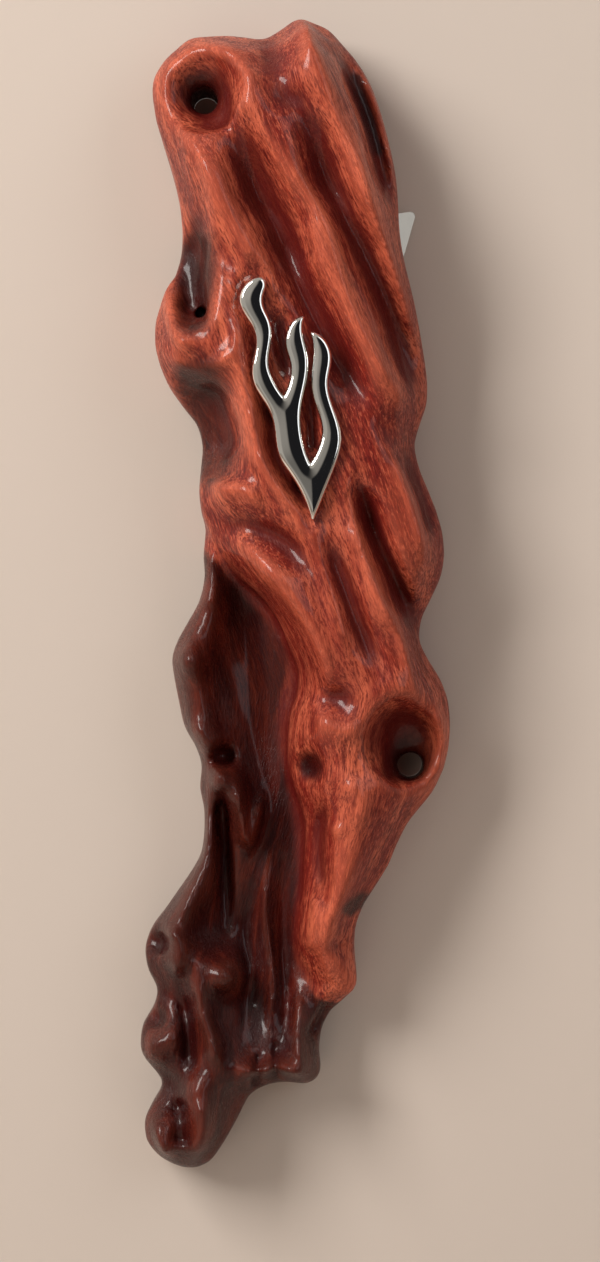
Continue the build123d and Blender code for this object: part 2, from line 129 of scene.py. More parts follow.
# ---- small tools --------------------------------------------------------------------------
class Tree:
    """Builds a material's nodes in few words."""

    def __init__(self, name):
        self.material = bpy.data.materials.new(name)
        self.material.use_nodes = True
        self.nodes = self.material.node_tree.nodes
        self.links = self.material.node_tree.links
        self.shader = self.nodes["Principled BSDF"]
        self.output = self.nodes["Material Output"]

    def put(self, socket, value):
        if isinstance(value, bpy.types.NodeSocket):
            self.links.new(value, socket)
        elif value is not None:
            socket.default_value = value

    def node(self, kind, inputs=(), **settings):
        node = self.nodes.new("ShaderNode" + kind)
        for key, value in settings.items():
            setattr(node, key, value)
        for key, value in dict(inputs).items():
            self.put(node.inputs[key], value)
        return node

    def attribute(self, name, output="Vector"):
        return self.node("Attribute", attribute_name=name).outputs[output]

    def place(self):
        return self.node("TexCoord").outputs["Object"]

    def scaled(self, vector, scale):
        return self.node("Mapping", {"Vector": vector, "Scale": scale}).outputs[0]

    def noise(self, vector, scale, detail=4.0, roughness=0.55, distortion=0.0):
        return self.node("TexNoise", {"Vector": vector, "Scale": scale, "Detail": detail,
                                      "Roughness": roughness,
                                      "Distortion": distortion}).outputs["Fac"]

    def math(self, operation, a, b=None, c=None):
        node = self.node("Math", operation=operation)
        for socket, value in zip(node.inputs, (a, b, c)):
            self.put(socket, value)
        return node.outputs[0]

    def span(self, value, low, high, to_low=0.0, to_high=1.0):
        return self.node("MapRange", {"Value": value, "From Min": low, "From Max": high,
                                      "To Min": to_low, "To Max": to_high},
                         interpolation_type="SMOOTHSTEP").outputs[0]

    def mix(self, share, a, b, blend="MIX"):
        node = self.node("Mix", data_type="RGBA", blend_type=blend)
        for socket, value in ((node.inputs[0], share), (node.inputs[6], a), (node.inputs[7], b)):
            if isinstance(value, tuple) and len(value) == 3:
                value = (*value, 1.0)
            self.put(socket, value)
        return node.outputs[2]

    def bump(self, height, strength, distance, under=None):
        return self.node("Bump", {"Height": height, "Strength": strength, "Distance": distance,
                                  "Normal": under}).outputs[0]

    def finish(self, **inputs):
        for key, value in inputs.items():
            name = key.replace("_", " ")
            if isinstance(value, tuple) and len(value) == 3:
                value = (*value, 1.0)
            self.put(self.shader.inputs[name], value)
        return self.material


def new_piece(name, vertices, faces, material, smooth=True):
    mesh = bpy.data.meshes.new(name)
    mesh.from_pydata(vertices, [], faces)
    mesh.validate()
    piece = bpy.data.objects.new(name, mesh)
    bpy.context.scene.collection.objects.link(piece)
    mesh.materials.append(material)
    mesh.polygons.foreach_set("use_smooth", [smooth] * len(mesh.polygons))
    return piece


def paint(node, material):
    """Gives a CAD node that stays another material."""
    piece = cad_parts[node]
    piece.data.materials.clear()
    piece.data.materials.append(material)


def node_mesh(node):
    """Vertices (mm) and triangles of a CAD node, with doubles merged."""
    shape = bmesh.new()
    shape.from_mesh(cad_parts[node].data)
    bmesh.ops.remove_doubles(shape, verts=shape.verts, dist=1e-6)
    bmesh.ops.triangulate(shape, faces=shape.faces)
    points = np.array([v.co for v in shape.verts], dtype=np.float32) / MM
    triangles = np.array([[v.index for v in f.verts] for f in shape.faces], dtype=np.uint32)
    shape.free()
    return points, triangles


# ---- fields: arrays of signed distance in mm, negative inside -------------------------------
class Field:
    """A block of cells around a CAD node."""

    def __init__(self, node, cell, band, margin):
        points, triangles = node_mesh(node)
        self.cell = cell
        self.low = points.min(axis=0) - margin
        self.shape = tuple(int(n) for n in np.ceil((points.max(axis=0) + margin - self.low) / cell))
        steps = openvdb.createLinearTransform(voxelSize=cell)
        grid = openvdb.FloatGrid.createLevelSetFromPolygons((points - self.low).astype(np.float32),
                                                  triangles=triangles, transform=steps,
                                                  halfWidth=band / cell)
        self.value = np.full(self.shape, band, dtype=np.float32)
        grid.copyToArray(self.value)
        axes = [self.low[i] + cell * np.arange(self.shape[i]) for i in range(3)]
        self.x, self.z = np.meshgrid(axes[0], axes[2], indexing="ij")
        self.y = axes[1]
        self.height = -axes[1][None, :, None]

    def blurred(self, sigma, value=None):
        """The field blurred by a bell curve, with sigma in mm."""
        result = self.value if value is None else value
        reach = max(1, int(math.ceil(2.5 * sigma / self.cell)))
        offsets = np.arange(-reach, reach + 1)
        weights = np.exp(-0.5 * (offsets * self.cell / sigma) ** 2)
        weights /= weights.sum()
        for axis in range(result.ndim):
            padding = [(reach, reach) if i == axis else (0, 0) for i in range(result.ndim)]
            padded = np.pad(result, padding, mode="edge")
            size = result.shape[axis]
            total = np.zeros_like(result)
            for offset, weight in zip(offsets, weights):
                start = reach + offset
                index = [slice(None)] * result.ndim
                index[axis] = slice(start, start + size)
                total += weight * padded[tuple(index)]
            result = total.astype(np.float32)
        return result

    def mesh(self):
        """Vertices (mm) and quads of the zero surface."""
        steps = openvdb.createLinearTransform(voxelSize=self.cell)
        grid = openvdb.FloatGrid(float(self.value.max()))
        grid.transform = steps
        grid.copyFromArray(np.ascontiguousarray(self.value))
        points, _, quads = grid.convertToPolygons(0.0, 0.0)
        return points + self.low, quads

    def sample(self, value, points):
        """A field's value at each point, from the nearest cells."""
        place = (points - self.low) / self.cell
        base = np.clip(np.floor(place).astype(int), 0, np.array(self.shape) - 2)
        share = np.clip(place - base, 0, 1)
        total = np.zeros(len(points))
        for corner in range(8):
            bits = np.array([corner & 1, corner >> 1 & 1, corner >> 2 & 1])
            weight = np.prod(np.where(bits, share, 1 - share), axis=1)
            index = base + bits
            total += weight * value[index[:, 0], index[:, 1], index[:, 2]]
        return total


def smoothstep(value, low, high):
    share = np.clip((value - low) / (high - low), 0, 1)
    return share * share * (3 - 2 * share)


def rounded(line, steps=6):
    """More points along a line, on a smooth curve through its points."""
    points = np.array(line, dtype=float)
    if len(points) < 3:
        return points
    ends = np.concatenate([2 * points[:1] - points[1:2], points, 2 * points[-1:] - points[-2:-1]])
    result = []
    for a, b, c, d in zip(ends[:-3], ends[1:-2], ends[2:-1], ends[3:]):
        for t in np.arange(steps) / steps:
            result.append(0.5 * (2 * b + (c - a) * t + (2 * a - 5 * b + 4 * c - d) * t * t
                                 + (3 * b - a - 3 * c + d) * t ** 3))
    result.append(points[-1])
    return np.array(result)


def line_distance(x, z, line):
    """Distance from each place to a smooth line, and how far along the line it is, 0 to 1."""
    points = rounded(line)
    if len(points) == 1:
        return np.hypot(x - points[0][0], z - points[0][1]), np.full(x.shape, 0.5)
    best = np.full(x.shape, np.inf)
    along = np.zeros(x.shape)
    count = len(points) - 1
    for i, (start, end) in enumerate(zip(points[:-1], points[1:])):
        run = end - start
        share = ((x - start[0]) * run[0] + (z - start[1]) * run[1]) / run.dot(run)
        share = np.clip(share, 0.0, 1.0)
        distance = np.hypot(x - start[0] - share * run[0], z - start[1] - share * run[1])
        nearer = distance < best
        best = np.where(nearer, distance, best)
        along = np.where(nearer, (i + share) / count, along)
    return best, along


def stroke(x, z, line, half_width, rise, power=2.0, taper=0.25):
    """A crest (rise above 0) or groove (below 0) that fades out at both its ends."""
    distance, along = line_distance(x, z, line)
    fade = 1.0
    if len(line) > 2:
        fade = smoothstep(along, -0.02, taper) * smoothstep(1 - along, -0.02, taper)
        fade = 0.25 + 0.75 * fade
    return rise * fade * np.exp(-(distance / half_width) ** power)


# ---- carved wood ----------------------------------------------------------------------------
# Each stroke: line of (x, z) in mm, half width, rise, and how sharp its middle is (2 is round).
LIMB_STROKES = [
    # long crests and grooves that twist down the limb
    ([(19.8, 16.5), (21.2, 8.0), (23.4, 0.5), (29.2, -12.6), (33.4, -24.0), (38.8, -38.7),
      (43.0, -52.0)], 2.6, 3.4, 1.15),
    ([(19.0, -2.0), (23.5, -14.5), (28.6, -25.0), (35.0, -38.7), (39.8, -52.0),
      (42.0, -59.0)], 3.2, -3.8, 1.8),
    ([(3.5, 8.5), (6.5, 2.0), (11.1, -5.7), (16.2, -13.7), (21.4, -21.6), (25.3, -33.0),
      (29.2, -43.8), (33.7, -52.2), (38.8, -60.0)], 2.4, 3.6, 1.1),
    ([(5.0, -6.5), (10.0, -17.1), (14.5, -26.1), (18.4, -35.1), (23.0, -45.3), (28.6, -55.5),
      (34.3, -64.5)], 3.4, -4.2, 1.9),
    ([(-3.5, -8.0), (0.3, -14.7), (4.9, -23.9), (10.0, -33.0), (13.4, -38.7)], 2.6, 3.0, 1.2),
    ([(12.5, 10.0), (14.0, 3.0), (17.5, -5.0)], 3.4, -1.5, 2.0),
    # hollow and rim beside the right edge
    ([(27.4, 8.5), (30.0, 2.0), (32.8, -5.0), (34.9, -12.6), (36.6, -20.0)], 1.8, -2.0, 1.8),
    ([(29.8, 9.0), (33.2, 1.5), (35.6, -6.0), (37.2, -14.0), (38.0, -22.0)], 1.2, 1.6, 1.6),
    # around the emblem
    ([(6.3, -36.0), (6.8, -45.3), (8.2, -55.5), (10.0, -65.7), (11.6, -72.6), (16.3, -80.0),
      (22.9, -86.2)], 1.7, 3.2, 1.4),
    ([(9.0, -43.0), (10.6, -54.0), (13.0, -64.0), (15.6, -72.5), (19.5, -79.5),
      (22.5, -84.0)], 2.8, -2.6, 2.0),
    ([(14.5, -42.0), (15.5, -50.0), (17.0, -58.0)], 2.6, -2.4, 2.0),
    ([(20.5, -58.0), (21.3, -69.0)], 2.0, -2.2, 2.0),
    # left edge: tapered groove into a pit, then the big scoop
    ([(-1.6, -26.0), (-2.6, -33.0), (-2.4, -39.0), (-1.9, -44.0)], 2.5, -4.6, 2.2),
    ([(-1.6, -43.0)], 2.6, -2.2, 2.4),
    ([(-7.8, -36.5), (-7.0, -43.0), (-5.0, -48.5), (-0.8, -49.5)], 1.5, 1.4, 1.6),
    ([(3.2, -30.0), (3.4, -40.0), (2.0, -48.0)], 1.8, 1.2, 1.6),
    ([(-8.0, -50.0), (-3.0, -54.0), (3.0, -53.5), (6.5, -50.0)], 1.8, 1.8, 1.6),
    ([(-1.5, -56.5), (-0.4, -64.5), (2.0, -73.0)], 5.2, -7.5, 2.6),
    ([(-0.5, -76.0), (4.0, -77.5), (8.2, -78.5), (12.5, -82.5)], 1.9, 1.8, 1.6),
    # folds below the emblem
    ([(2.5, -83.8), (9.4, -85.6), (15.5, -88.5), (20.0, -93.0)], 2.6, -1.6, 1.8),
    ([(16.0, -83.0), (21.0, -87.5), (24.0, -95.0), (26.5, -104.0), (28.0, -113.0)], 2.2, 1.6, 1.5),
    ([(28.1, -78.0), (31.0, -89.6), (34.3, -98.7), (38.8, -107.4), (41.5, -117.0)], 1.7, 2.8, 1.3),
    ([(24.1, -87.3), (27.6, -96.5), (31.0, -105.4), (34.5, -114.0)], 2.0, -2.4, 1.8),
    ([(30.6, -76.5), (33.7, -86.2), (37.3, -94.5), (41.0, -103.5)], 1.9, -4.4, 1.7),
    ([(37.0, -70.6), (41.2, -81.7), (43.6, -91.6)], 1.5, 1.8, 1.5),
    ([(40.0, -71.4), (43.4, -79.3), (45.3, -87.0)], 1.5, -2.6, 1.7),
    ([(8.0, -88.5), (12.5, -93.5), (17.0, -99.0), (21.0, -104.5), (23.5, -110.0),
      (25.0, -116.0)], 2.4, 2.4, 1.5),
    # knots and dimples of the elbow
    ([(26.5, -118.8)], 3.0, -2.4, 2.0),
    ([(21.0, -132.5)], 3.2, -2.4, 2.0),
    ([(22.0, -122.0), (27.0, -125.5), (31.5, -124.0)], 2.4, 1.6, 1.8),
    ([(33.5, -119.5), (35.0, -127.0), (34.0, -135.0)], 2.0, 1.5, 1.6),
    ([(46.0, -121.0), (47.0, -128.0), (45.5, -136.0)], 1.6, 1.4, 1.6),
    ([(28.0, -134.5), (31.0, -139.0), (30.0, -146.0)], 2.4, 1.5, 1.6),
    ([(26.0, -145.0)], 1.5, 1.1, 2.0),
    ([(24.0, -139.0), (23.0, -149.0), (24.0, -158.0)], 1.8, -1.4, 1.6),
    ([(29.0, -149.0), (27.5, -157.0), (24.5, -164.0), (24.0, -171.0)], 2.2, 1.4, 1.6),
    ([(26.5, -168.5)], 1.6, -1.3, 2.0),
    ([(22.0, -160.0), (21.0, -168.0)], 1.3, 1.0, 1.6),
]
SHELL_STROKES = [
    ([(9.0, -95.0), (10.5, -108.0), (12.0, -121.0), (12.5, -136.0)], 4.2, -3.4, 2.0),
    ([(1.0, -88.0), (1.5, -96.0), (0.5, -102.0)], 1.6, 1.5, 1.5),
    ([(-2.9, -111.6)], 3.2, 2.6, 2.0),
    ([(-2.5, -123.0), (1.0, -129.0), (4.5, -136.5)], 1.6, 2.0, 1.5),
    ([(3.4, -131.0)], 2.1, -5.5, 2.2),
    ([(3.4, -138.5), (3.7, -146.0), (3.9, -154.0), (4.2, -165.0)], 1.25, -6.5, 1.8),
    ([(6.3, -136.0), (7.6, -143.0), (8.3, -149.5)], 1.2, 2.6, 1.6),
    ([(11.3, -139.0), (10.0, -145.0), (8.6, -150.0)], 1.1, 2.2, 1.6),
    ([(1.0, -140.0), (0.6, -150.0), (-2.5, -158.0), (-6.0, -165.0)], 1.8, 2.4, 1.5),
    ([(4.5, -174.0)], 3.6, 3.4, 2.2),
    ([(9.5, -158.0), (8.0, -166.0), (9.0, -175.0), (8.0, -184.0)], 1.5, -2.6, 1.6),
    ([(12.5, -150.0), (12.0, -163.0), (13.5, -176.0), (12.5, -187.0)], 1.1, 1.5, 1.5),
    ([(16.0, -152.0), (15.5, -166.0), (16.5, -180.0), (15.5, -189.0)], 1.2, -2.0, 1.6),
    ([(-9.5, -168.5)], 2.0, -4.0, 2.2),
    ([(-7.5, -164.0), (-4.5, -168.5), (-6.0, -174.5)], 1.5, 1.8, 1.5),
    ([(-1.5, -172.0), (-0.5, -180.0), (1.5, -187.0), (3.0, -193.0)], 1.5, 2.8, 1.5),
    ([(-4.5, -178.0), (-3.5, -186.0), (-3.0, -194.0)], 1.6, -2.2, 1.6),
    ([(-9.5, -184.0)], 2.1, -2.6, 2.2),
    ([(-10.0, -190.0)], 2.8, 1.8, 2.0),
    ([(-5.2, -198.5), (-4.4, -204.5), (-4.8, -209.0)], 2.4, -3.0, 2.0),
    ([(-1.0, -198.0), (0.0, -204.0), (-1.5, -210.0)], 2.0, 2.0, 1.6),
    ([(-10.0, -204.0), (-8.0, -209.5)], 1.6, 1.4, 1.6),
    ([(5.0, -192.0), (10.0, -193.5), (15.0, -192.5), (20.0, -194.0)], 1.4, 1.8, 1.5),
    ([(19.0, -178.0), (18.5, -185.0), (18.8, -192.0)], 1.1, 1.8, 1.5),
    ([(24.0, -181.5), (21.5, -186.0)], 1.0, -2.2, 1.5),
    ([(10.0, -196.5), (10.8, -191.0)], 0.8, -1.6, 1.5),
    ([(14.0, -194.0), (14.2, -189.0)], 0.8, -1.4, 1.5),
]
# Screw holes and the small pit, in mm: centre, and for the pit its radius and floor height.
UPPER_BORE = (0.0, 0.0)
LOWER_BORE = (41.2, -132.8)
PIT_BORE = ((-0.7, -42.6), 1.2, 12.0)
# Bowls around the screw holes: centre, lowest height, and how fast the sides rise.
SCOOPS = [((-1.9, 2.0), 15.5, 0.115), ((40.4, -128.0), 14.5, 0.105)]
# Places painted with the shade that falls in pits, scoops around the screw holes and grooves, in
# the deep red of the dark shell: line and half width.
RECESS_SHADE_PLACES = [([(-1.5, -30.0), (-2.2, -44.0)], 4.5), ([(-1.5, -57.0), (1.5, -72.0)], 6.5),
               ([(21.0, -132.5)], 3.0), ([(-1.6, 1.4)], 5.0), ([(41.0, -131.0)], 5.5),
               ([(31.6, -159.5), (29.0, -161.0)], 1.6), ([(30.0, 4.0), (34.5, -10.0)], 1.6)]
# Where the fibres run: the middle of the flow at stations down the length.
FLOW = [(20.0, -6.0), (0.0, 0.0), (-30.0, 13.0), (-60.0, 26.0), (-90.0, 36.0), (-118.0, 45.0),
        (-135.0, 44.0), (-160.0, 38.0), (-180.0, 36.0), (-215.0, 36.0)]
KNOTS = [((-1.6, 1.2), 9.0), ((-1.7, -42.5), 6.0), ((1.5, -63.0), 8.0), ((40.8, -129.5), 8.5),
         ((26.5, -118.8), 4.5), ((21.0, -132.5), 5.0), ((4.5, -174.0), 5.0), ((26.0, -145.0), 3.0)]
# The seam between the light limb and the dark shell.
SEAM = [(-4.0, -84.0), (2.0, -90.0), (9.0, -99.0), (14.0, -105.0), (17.0, -112.0), (15.0, -122.0),
        (15.5, -130.0), (18.0, -140.0), (19.0, -152.0), (18.5, -163.0), (19.5, -173.0),
        (24.0, -179.5), (34.0, -181.0)]


def soft_maximum(a, b, rounding=1.2):
    """The larger of two fields, with a rounded edge where they meet."""
    return 0.5 * (a + b + np.sqrt((a - b) ** 2 + rounding))


def carve(field, settings):
    """Melts the facets of the block, then cuts the strokes into its front."""
    rough = field.value
    soft = field.blurred(settings.melt / MM)
    low, high = (Vector(corner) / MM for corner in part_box("back_cover"))
    reach = 1.2
    inside = np.minimum(np.minimum(field.x - low.x, high.x - field.x),
                        np.minimum(field.z - low.z, high.z - field.z))
    keep = smoothstep(inside, -reach - 1.0, -reach)[:, None, :]
    keep = keep * (1 - smoothstep(field.height, 14.0, 15.0))
    for x, z in (UPPER_BORE, LOWER_BORE):
        near = np.hypot(field.x - x, field.z - z)[:, None, :]
        keep = np.maximum(keep, (1 - smoothstep(near, 3.4, 4.2))
                          * (1 - smoothstep(field.height, 9.0, 10.0)))
    value = soft * (1 - keep) + rough * keep
    limb = sum(stroke(field.x, field.z, *row) for row in LIMB_STROKES)
    shell = sum(stroke(field.x, field.z, *row) for row in SHELL_STROKES)
    seat = emblem_seat(field)
    limb = np.where(limb < 0, limb, limb * (1 - seat))[:, None, :]
    front = smoothstep(field.height, 4.0, 10.0)
    value = value - limb * smoothstep(field.height, 8.0, 17.0) - shell[:, None, :] * front
    # slow unevenness, as left by carving and sanding by hand
    value -= (0.22 * np.sin(field.x / 2.9 + 1.3) * np.sin(field.z / 4.1 + field.x / 6.0)
              * (1 - seat))[:, None, :] * front
    for (x, z), radius in ((UPPER_BORE, settings.bore / MM), (LOWER_BORE, settings.bore / MM)):
        near = np.hypot(field.x - x, field.z - z)[:, None, :]
        value = np.maximum(value, radius - near)
    (x, z), radius, floor = PIT_BORE
    near = np.hypot(field.x - x, field.z - z)[:, None, :]
    value = np.maximum(value, np.minimum(radius - near, field.height - floor))
    crest = -CAD_BOX[0][1] / MM + 0.5
    value = soft_maximum(value, (field.height - crest) * 0.8)
    for (x, z), lowest, rise in SCOOPS:
        near = np.hypot(field.x - x, field.z - z)
        bowl = np.minimum(lowest + rise * near ** 2, 60.0)[:, None, :]
        value = soft_maximum(value, (field.height - bowl) * 0.6)
    # the wood stays just below the emblem, and rises again around it
    low, high = (np.array(corner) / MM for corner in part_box("emblem"))
    limit = -high[1] - 0.25 + 0.55 * np.maximum(-emblem_depth(field) - 0.7, 0.0)
    value = np.maximum(value, (field.height - limit[:, None, :]) * 0.75)
    field.value = value.astype(np.float32)


def emblem_depth(field):
    """How far each place lies inside the emblem's outline; outside is negative."""
    return outline_distance(field.x, field.z, outline_segments("emblem"))


def emblem_seat(field):
    """1 under the emblem, fading to 0 around it: its seat stays level."""
    points, _ = node_mesh("emblem")
    mask = np.zeros(field.x.shape, dtype=np.float32)
    for x, y, z in points:
        mask[int((x - field.low[0]) / field.cell), int((z - field.low[2]) / field.cell)] = 1
    spread = field.blurred(0.9, mask)
    return np.clip(spread / spread.max() * 2.0, 0, 1)


def seam_share(x, z):
    """0 on the limb, 1 on the dark shell."""
    line = rounded(SEAM)
    edge = np.interp(-z, -line[:, 1], line[:, 0])
    return smoothstep(edge - x, -1.5, 3.0) * smoothstep(-z, 84.0, 92.0)


def flow_offset(z):
    stations = np.array(FLOW)
    return np.interp(-z, -stations[:, 0], stations[:, 1])


def add_surface_values(piece, field, points):
    """Stores on each vertex where the fibres run, how hollow the wood is, which drives painted
    shade in hollows and painted highlight on crests, and how dark: the dark shell plus painted
    shade in pits, scoops and grooves.
    """
    x, y, z = points.T
    across = x - flow_offset(z)
    for (knot_x, knot_z), radius in KNOTS:
        near = np.hypot(x - knot_x, z - knot_z)
        across += 0.55 * (x - knot_x) * np.exp(-(near / radius) ** 2) * -1.0
    fibre = np.stack([across, y, z], 1) * MM
    # how hollow each place is, at two widths: the material paints shade into the hollows and
    # highlight onto the crests from these
    hollow_shade = -field.sample(field.blurred(1.3), points)
    wide_hollow_shade = -field.sample(field.blurred(3.6), points)
    # the dark shell is the wood's own colour; the listed places add painted shade in pits, scoops
    # and grooves
    dark = seam_share(x, z)
    for line, half_width in RECESS_SHADE_PLACES:
        near = line_distance(x, z, line)[0]
        dark = np.maximum(dark, np.exp(-(near / half_width) ** 2))
    for name, kind, values in (("fibre", "FLOAT_VECTOR", fibre), ("hollow_shade", "FLOAT", hollow_shade),
                               ("wide_hollow_shade", "FLOAT", wide_hollow_shade), ("heartwood_and_pit_shade", "FLOAT", dark)):
        layer = piece.data.attributes.new(name, kind, "POINT")
        key = "vector" if kind == "FLOAT_VECTOR" else "value"
        layer.data.foreach_set(key, np.asarray(values, dtype=np.float32).ravel())


def carved_wood_material(settings):
    tree = Tree("carved red hardwood")
    fibre = tree.attribute("fibre")
    hollow_shade = tree.attribute("hollow_shade", "Fac")
    wide_hollow_shade = tree.attribute("wide_hollow_shade", "Fac")
    heartwood_and_pit_shade = tree.attribute("heartwood_and_pit_shade", "Fac")
    light, red = tuple(settings.light_wood), tuple(settings.red_wood)
    dark, black = tuple(settings.dark_wood), tuple(settings.heart_wood)
    broad = tree.noise(tree.scaled(fibre, (1.0, 1.0, 0.14)), 190.0, 5.0, 0.62, 0.7)
    bands = tree.noise(tree.scaled(fibre, (1.0, 1.0, 0.09)), 950.0, 4.0, 0.65, 0.4)
    flecks = tree.noise(tree.scaled(fibre, (1.0, 1.0, 0.22)), 2300.0, 3.0, 0.7, 0.3)
    fine = tree.noise(tree.scaled(fibre, (1.0, 1.0, 0.05)), 2400.0, 3.0, 0.6, 0.0)
    cloud = tree.noise(tree.place(), 42.0, 3.0, 0.5, 0.4)
    base = tree.mix(tree.span(broad, 0.38, 0.68), red, light)
    base = tree.mix(tree.math("MULTIPLY", tree.span(bands, 0.46, 0.66), 0.72), base, dark)
    base = tree.mix(tree.math("MULTIPLY", tree.span(bands, 0.46, 0.32), 0.45), base, light)
    base = tree.mix(tree.math("MULTIPLY", tree.span(flecks, 0.48, 0.62), 0.80), base, dark)
    base = tree.mix(tree.math("MULTIPLY", tree.span(flecks, 0.45, 0.34), 0.65), base, light)
    base = tree.mix(tree.math("MULTIPLY", tree.span(cloud, 0.42, 0.68), 0.35), base, red)
    # painted shade: hollows darken towards the dark fibre colour; painted highlight: crests lighten
    # towards the light fibre colour
    both = tree.math("ADD", hollow_shade, tree.math("MULTIPLY", wide_hollow_shade, 0.8))
    base = tree.mix(tree.math("MULTIPLY", tree.span(both, -0.35, 0.9), 0.88), base, dark)
    base = tree.mix(tree.math("MULTIPLY", tree.span(both, -0.5, -2.0), 0.40), base, light)
    # the dark shell's own deep red, and painted shade in the listed pits, scoops and grooves, with
    # a ragged edge
    ragged = tree.math("ADD", heartwood_and_pit_shade, tree.span(cloud, 0.2, 0.8, -0.25, 0.25))
    heart_and_recess_shade_share = tree.math("MULTIPLY", tree.span(ragged, 0.15, 0.85), 0.88)
    deep_red = tree.mix(tree.span(broad, 0.42, 0.70), black, tuple(c * 0.30 for c in red))
    base = tree.mix(heart_and_recess_shade_share, base, deep_red)
    height = tree.math("ADD", tree.math("MULTIPLY", flecks, 0.6), tree.math("MULTIPLY", bands, 0.6))
    height = tree.math("ADD", height, tree.math("MULTIPLY", fine, 0.3))
    normal = tree.bump(height, 0.6, 0.0007)
    rough = tree.span(flecks, 0.35, 0.65, 0.36, 0.56)
    rough = tree.math("SUBTRACT", rough, tree.math("MULTIPLY", heartwood_and_pit_shade, 0.16))
    return tree.finish(Base_Color=base, Roughness=rough, Normal=normal, Coat_Weight=0.30,
                       Coat_Roughness=0.14, Specular_IOR_Level=0.12)


class MEZUZAH_OT_carved_body(bpy.types.Operator):
    """Carve the block of wood: crests, grooves, hollows, knots and screw holes"""
    bl_idname = "mezuzah.carved_body"
    bl_label = "Carved Body"

    def execute(self, context):
        settings = context.scene.mezuzah_carving
        field = Field("case_body", settings.voxel / MM, 8.0, 3.0)
        carve(field, settings)
        points, quads = field.mesh()
        piece = new_piece("carved_body", (points * MM).tolist(), quads.tolist(),
                          carved_wood_material(settings))
        add_surface_values(piece, field, points)
        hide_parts("case_body")
        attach(piece, "case")
        return {"FINISHED"}


# ---- emblem ---------------------------------------------------------------------------------
def polished_metal_material(settings):
    tree = Tree("polished silver metal")
    smear = tree.noise(tree.place(), 260.0, 3.0, 0.5, 0.5)
    return tree.finish(Base_Color=tuple(settings.metal), Metallic=1.0,
                       Roughness=tree.span(smear, 0.3, 0.8, 0.035, 0.10))


def outline_segments(node):
    """The straight pieces of a flat node's outline, as (x, z) pairs in mm."""
    points, triangles = node_mesh(node)
    back = points[:, 1].max() - 0.01
    sides = {}
    for triangle in triangles[(points[triangles][:, :, 1] > back).all(axis=1)]:
        for a, b in zip(triangle, np.roll(triangle, -1)):
            key = (min(a, b), max(a, b))
            sides[key] = sides.get(key, 0) + 1
    return np.array([points[list(key)][:, [0, 2]] for key, uses in sides.items() if uses == 1])


def outline_distance(x, z, segments):
    """Distance from each place to the outline: positive inside it, negative outside."""
    best = np.full(x.shape, np.inf)
    crossings = np.zeros(x.shape, dtype=int)
    for start, end in segments:
        run = end - start
        share = np.clip(((x - start[0]) * run[0] + (z - start[1]) * run[1]) / run.dot(run), 0, 1)
        best = np.minimum(best, np.hypot(x - start[0] - share * run[0],
                                         z - start[1] - share * run[1]))
        spans = (start[1] > z) != (end[1] > z)
        rise = run[1] if run[1] != 0 else 1.0
        crossings += spans & (x < start[0] + (z - start[1]) * run[0] / rise)
    return np.where(crossings % 2 == 1, best, -best)


class MEZUZAH_OT_emblem(bpy.types.Operator):
    """Shape the polished emblem with its rounded shoulders"""
    bl_idname = "mezuzah.emblem"
    bl_label = "Emblem"

    def execute(self, context):
        settings = context.scene.mezuzah_emblem
        material = polished_metal_material(settings)
        field = Field("emblem", settings.cell / MM, 1.0, 1.0)
        low, high = (np.array(corner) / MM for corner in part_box("emblem"))
        back, thick = -high[1], high[1] - low[1]
        inside = emblem_depth(field) + settings.fullness / MM
        share = np.clip(inside / (settings.bevel / MM), 0, 1)
        top = back + thick * (0.45 + 0.35 * np.sqrt(1 - (1 - share) ** 2))
        top += 0.12 * thick * np.clip(inside / 3.5, 0, 1)
        top -= 0.018 * (field.x - (low[0] + high[0]) / 2 + 0.30 * (field.z - low[2]) - 8.0)
        top = np.minimum(top, back + thick)
        top = field.blurred(0.16, top.astype(np.float32))[:, None, :]
        edge = -inside[:, None, :]
        value = np.maximum(np.maximum((field.height - top) * 0.6, back - field.height), edge)
        field.value = value.astype(np.float32)
        points, quads = field.mesh()
        piece = new_piece("polished_emblem", (points * MM).tolist(), quads.tolist(),
                          material)
        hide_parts("emblem")
        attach(piece, "case")
        for node in ("emblem_stud_upper", "emblem_stud_lower"):
            paint(node, material)
        return {"FINISHED"}


# ---- back cover, screws, scroll and pads --------------------------------------------------------
def plain_wood_material(settings):
    tree = Tree("plain sawn hardwood")
    long_grain = tree.noise(tree.scaled(tree.place(), (1.0, 0.35, 0.05)), 900.0, 5.0, 0.6, 0.5)
    pores = tree.noise(tree.scaled(tree.place(), (1.0, 1.0, 0.10)), 2600.0, 2.0, 0.6, 0.0)
    base = tree.mix(tree.span(long_grain, 0.38, 0.62), tuple(settings.red_wood),
                    tuple(settings.light_wood))
    base = tree.mix(tree.math("MULTIPLY", tree.span(pores, 0.54, 0.66), 0.7), base,
                    tuple(settings.dark_wood))
    normal = tree.bump(tree.math("SUBTRACT", long_grain, pores), 0.3, 0.0003)
    return tree.finish(Base_Color=base, Roughness=tree.span(pores, 0.3, 0.7, 0.5, 0.7),
                       Normal=normal)


